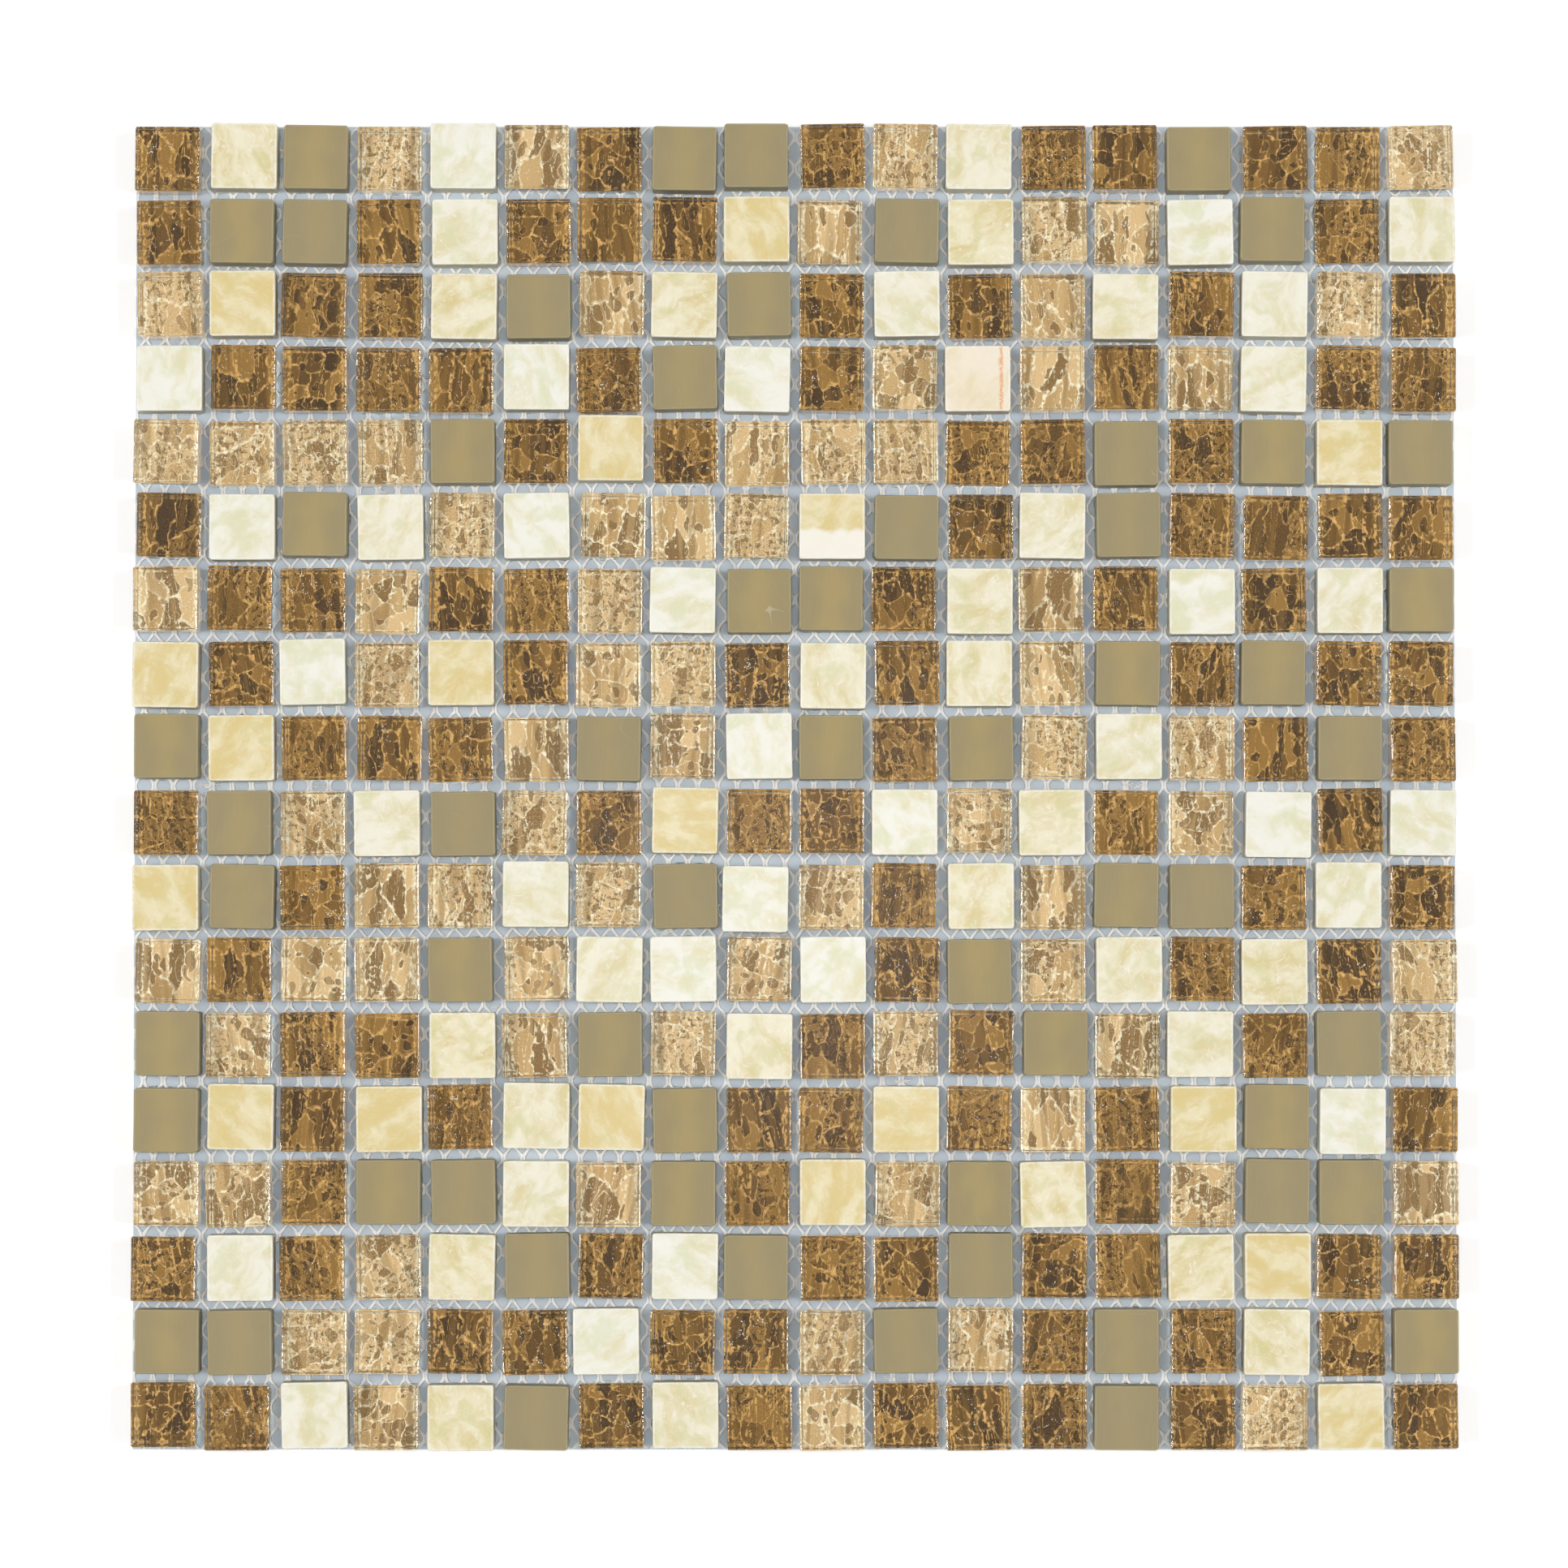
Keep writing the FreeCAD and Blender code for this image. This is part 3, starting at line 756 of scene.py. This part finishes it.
onyx, tree, shader = new_material("cream onyx")
face = add(tree, "UVMap", uv_map="face").outputs[0]
grain = add(tree, "UVMap", uv_map="grain").outputs[0]
own = own_numbers(tree)
height = add(tree, "SeparateXYZ", {0: add(tree, "TexCoord").outputs["Object"]}).outputs[2]
flat = add(tree, "SeparateXYZ", {0: grain}).outputs
height_in_mm = calc(tree, "MULTIPLY", height, 1 / MM)
grain = add(tree, "CombineXYZ", {0: flat[0], 1: flat[1], 2: height_in_mm}).outputs[0]
warp = add(tree, "TexNoise", {"Vector": grain, "Scale": 0.14, "Detail": 2.0}).outputs["Color"]
bent = moved(tree, grain, warp, 6.0)
upright = add(tree, "VectorMath", {0: bent, 1: (1.0, 0.4, 0.4)}, operation="MULTIPLY").outputs[0]
level = add(tree, "VectorMath", {0: bent, 1: (0.45, 1.0, 0.45)}, operation="MULTIPLY").outputs[0]
is_level = ramp(tree, own[2], 0.62, 0.66)
lying = add(tree, "Mix", {0: is_level, 4: upright, 5: level}, data_type="VECTOR").outputs[1]
streaks = add(tree, "TexNoise", {"Vector": lying, "Scale": 0.2, "Detail": 4.0, "Roughness": 0.6}).outputs[0]
clouds = add(tree, "TexNoise", {"Vector": bent, "Scale": 0.17, "Detail": 3.0, "Roughness": 0.5}).outputs[0]
wisps = add(tree, "TexNoise", {"Vector": bent, "Scale": 0.8, "Detail": 3.0, "Roughness": 0.65}).outputs[0]
warm = ramp(tree, own[0], 0.0, 0.9)
pale_stone = blend(tree, warm, colour(247, 245, 233), colour(243, 233, 198))
deep_stone = blend(tree, warm, colour(232, 225, 188), colour(222, 201, 137))
shown = blend(tree, ramp(tree, streaks, 0.38, 0.7), pale_stone, deep_stone)
cloud_stone = blend(tree, warm, colour(226, 227, 190), colour(218, 208, 146))
shown = blend(tree, ramp(tree, clouds, 0.5, 0.64, 0.0, 0.6), shown, cloud_stone)
vein = both(tree, peak(tree, clouds, 0.46, 0.014), ramp(tree, wisps, 0.4, 0.6, 0.0, 0.6))
shown = blend(tree, vein, shown, colour(252, 249, 236))
shown = blend(tree, ramp(tree, wisps, 0.5, 0.75, 0.0, 0.4), shown, colour(250, 248, 238))
honey = both(tree, ramp(tree, own[0], 0.8, 0.9), ramp(tree, streaks, 0.35, 0.65, 0.2, 0.85))
shown = blend(tree, honey, shown, colour(229, 207, 146))
across = add(tree, "SeparateXYZ", {0: face}).outputs
rust = add(tree, "Attribute", attribute_name="rust").outputs["Fac"]
shown = blend(tree, both(tree, rust, 0.45), shown, colour(250, 228, 202))
rust_vein = peak(tree, calc(tree, "MULTIPLY_ADD", wisps, 0.25, across[0]), 0.84, 0.09)
rust_vein = both(tree, both(tree, rust, rust_vein), ramp(tree, wisps, 0.38, 0.52, 0.35, 0.85))
shown = blend(tree, rust_vein, shown, colour(240, 166, 108))
whiter = add(tree, "Attribute", attribute_name="half_white").outputs["Fac"]
lower_half = ramp(tree, calc(tree, "MULTIPLY_ADD", clouds, 0.6, across[1]), 0.24, 0.06, 0.0, 0.9)
shown = blend(tree, both(tree, whiter, lower_half), shown, colour(251, 247, 236))
to_rim = rimward(tree, across)
# The rim and walls turn whiter: partly the eased and chipped arrises, partly painted light that stands in for
# light through the translucent stone.
rim_chips_and_painted_glow = both(tree, ramp(tree, to_rim, 0.9, 0.97), ramp(tree, wisps, 0.35, 0.55, 0.2, 0.7))
shown = blend(tree, rim_chips_and_painted_glow, shown, colour(252, 250, 240))
feed(tree, shown, shader, "Base Color")
feed(tree, ramp(tree, to_rim, 0.93, 0.99, 0.14, 0.5), shader, "Roughness")
saw_marks = add(tree, "TexNoise", {"Vector": grain, "Scale": 2.0, "Detail": 2.0}).outputs[0]
stone_bump = add(tree, "Bump", {"Height": saw_marks, "Strength": 0.15, "Distance": 0.05 * MM})
feed(tree, stone_bump.outputs[0], shader, "Normal")

node = "onyx_chips"
low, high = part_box(node)[0][2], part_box(node)[1][2]
profile = [(0, low), (0, high - ONYX_RIM), (0.09 * MM, high - 0.09 * MM), (ONYX_RIM, high)]
waver = np.array([0.04, 0.1, 0.1, 0.08]) * MM
laid, local = blocks("O", ONYX_HALF, ONYX_CORNER, profile, 2, 3, waver)
piece = put_blocks("onyx_stones", laid, local, ONYX_HALF, node, 2, swing=1.6)
stone_warmth = 0.25 + 0.45 * chance.uniform(0, 1, plan.shape)
rusty, half_white = np.zeros(plan.shape), np.zeros(plan.shape)
for stones, warmth in ((WHITE_STONES, WHITE_WARMTH), (HONEY_STONES, HONEY_WARMTH)):
    for row, column in stones:
        stone_warmth[row - 1, column - 1] = warmth
rusty[RUST_VEINED[0] - 1, RUST_VEINED[1] - 1] = 1
half_white[HALF_WHITE[0] - 1, HALF_WHITE[1] - 1] = 1
for name, stone_values in (("own_0", stone_warmth), ("rust", rusty), ("half_white", half_white)):
    values = np.broadcast_to(stone_values[plan == "O"][:, None, None], laid.shape[:3])
    if name in piece.data.attributes:
        piece.data.attributes.remove(piece.data.attributes[name])
    put_value(piece, name, values)
piece.data.materials.append(onyx)


# The floor: white board, with a pale blue-grey paper just as large as the sheet laid under it.
# Where it is seen, the board is lifted to an even white, most of all far out.

FLOOR_REACH = 3.0
LIFT_NEAR, LIFT_FAR = 0.24, 1.0
LIFT_FROM, LIFT_UNTIL = 0.3, 1.6


def seen_directly(tree):
    """One for what the camera sees, itself or mirrored in a shiny surface or through glass."""
    ray = add(tree, "LightPath").outputs
    return calc(tree, "MAXIMUM", ray["Is Camera Ray"], calc(
        tree, "MAXIMUM", ray["Is Glossy Ray"], ray["Is Transmission Ray"]))


floor_points = np.array([(-1, -1, 0), (1, -1, 0), (1, 1, 0), (-1, 1, 0)]) * FLOOR_REACH
floor = put_mesh("floor", floor_points, [np.arange(4)[None]])
board, tree, shader = new_material("white board")
place = add(tree, "TexCoord").outputs["Object"]
spot = add(tree, "SeparateXYZ", {0: place}).outputs
beside_x = calc(tree, "GREATER_THAN", calc(tree, "ABSOLUTE", spot[0]), net_high[0])
beside_y = calc(tree, "GREATER_THAN", calc(tree, "ABSOLUTE", spot[1]), net_high[1])
beside = calc(tree, "MAXIMUM", beside_x, beside_y)
fibre = add(tree, "TexNoise", {"Vector": place, "Scale": 900.0, "Detail": 2.0}).outputs[0]
paper = blend(tree, fibre, colour(201, 212, 222), colour(206, 217, 227))
feed(tree, blend(tree, beside, paper, colour(248, 248, 248)), shader, "Base Color")
shader.inputs["Roughness"].default_value = 0.8
far = add(tree, "VectorMath", {0: place}, operation="LENGTH").outputs["Value"]
lift = ramp(tree, far, LIFT_FROM, LIFT_UNTIL, LIFT_NEAR, LIFT_FAR)
lift = both(tree, seen_directly(tree), both(tree, beside, lift))
feed(tree, lift, shader, "Emission Strength")
shader.inputs["Emission Color"].default_value = (1, 1, 1, 1)
floor.data.materials.append(board)


# The light: a bright softbox high at the left and one at the right, weaker ones in front,
# behind and overhead with filters that keep their glare off the glass, in an even room whose
# white walls, but not its dim ceiling, are seen as white by the camera, and in glass too.

ROOM_LIGHT = 0.2


def softbox(name, place, width, height, power):
    """A flat lamp that faces the middle of the sheet; its width lies level."""
    data = bpy.data.lights.new(name, "AREA")
    data.shape = "RECTANGLE"
    data.size, data.size_y = width, height
    data.energy = power
    lamp = bpy.data.objects.new(name, data)
    bpy.context.scene.collection.objects.link(lamp)
    lamp.location = place
    lamp.rotation_mode = "QUATERNION"
    lamp.rotation_quaternion = (-lamp.location).to_track_quat("-Z", "Y")
    return lamp


for side, across in (("left", -1.6), ("right", 1.6)):
    softbox(side + "_softbox", (across, 0.0, 2.3), 0.9, 0.4, 24)
for side, place, size, power in (("front", (0.0, -1.5, 2.0), 0.8, 3), ("back", (0.0, 1.5, 2.0), 0.8, 3),
                                 ("overhead", (0.0, 0.0, 2.6), 0.3, 16)):
    softbox(side + "_softbox", place, size, size, power).visible_glossy = False

world = bpy.data.worlds.new("pale room")
bpy.context.scene.world = world
world.use_nodes = True
tree = world.node_tree
background = tree.nodes["Background"]
background.inputs["Color"].default_value = (1, 1, 1, 1)
direction = add(tree, "SeparateXYZ", {0: add(tree, "TexCoord").outputs["Generated"]}).outputs[2]
walls = ramp(tree, direction, 0.4, 0.9, 1.0, 0.0)
strength = calc(tree, "MULTIPLY_ADD", both(tree, seen_directly(tree), walls), 1 - ROOM_LIGHT, ROOM_LIGHT)
tree.links.new(strength, background.inputs["Strength"])

bpy.context.scene.view_settings.view_transform = "Standard"


# The camera looks straight down on the sheet from arm's length, a touch from its lower side.

PHOTO_WIDTH = 1932
PIXEL = 0.1857 * MM
CAMERA_DISTANCE = 1.45
CAMERA_TILT = math.radians(1.86)
SHEET_RIGHT_OF_CENTRE = 13.4
SHEET_BELOW_CENTRE = 1.0
CHIP_THICKNESS = 8 * MM

camera_data = bpy.data.cameras.new("camera")
camera_data.sensor_width = 36
camera_data.lens = 36 * CAMERA_DISTANCE / (PHOTO_WIDTH * PIXEL)
camera = bpy.data.objects.new("camera", camera_data)
bpy.context.scene.collection.objects.link(camera)
bpy.context.scene.camera = camera
aim_x = -SHEET_RIGHT_OF_CENTRE * PIXEL
aim_y = SHEET_BELOW_CENTRE * PIXEL
camera.location = (aim_x, aim_y - CAMERA_DISTANCE * math.sin(CAMERA_TILT),
                   net_high[2] + CHIP_THICKNESS + CAMERA_DISTANCE * math.cos(CAMERA_TILT))
camera.rotation_euler = (CAMERA_TILT, 0, 0)
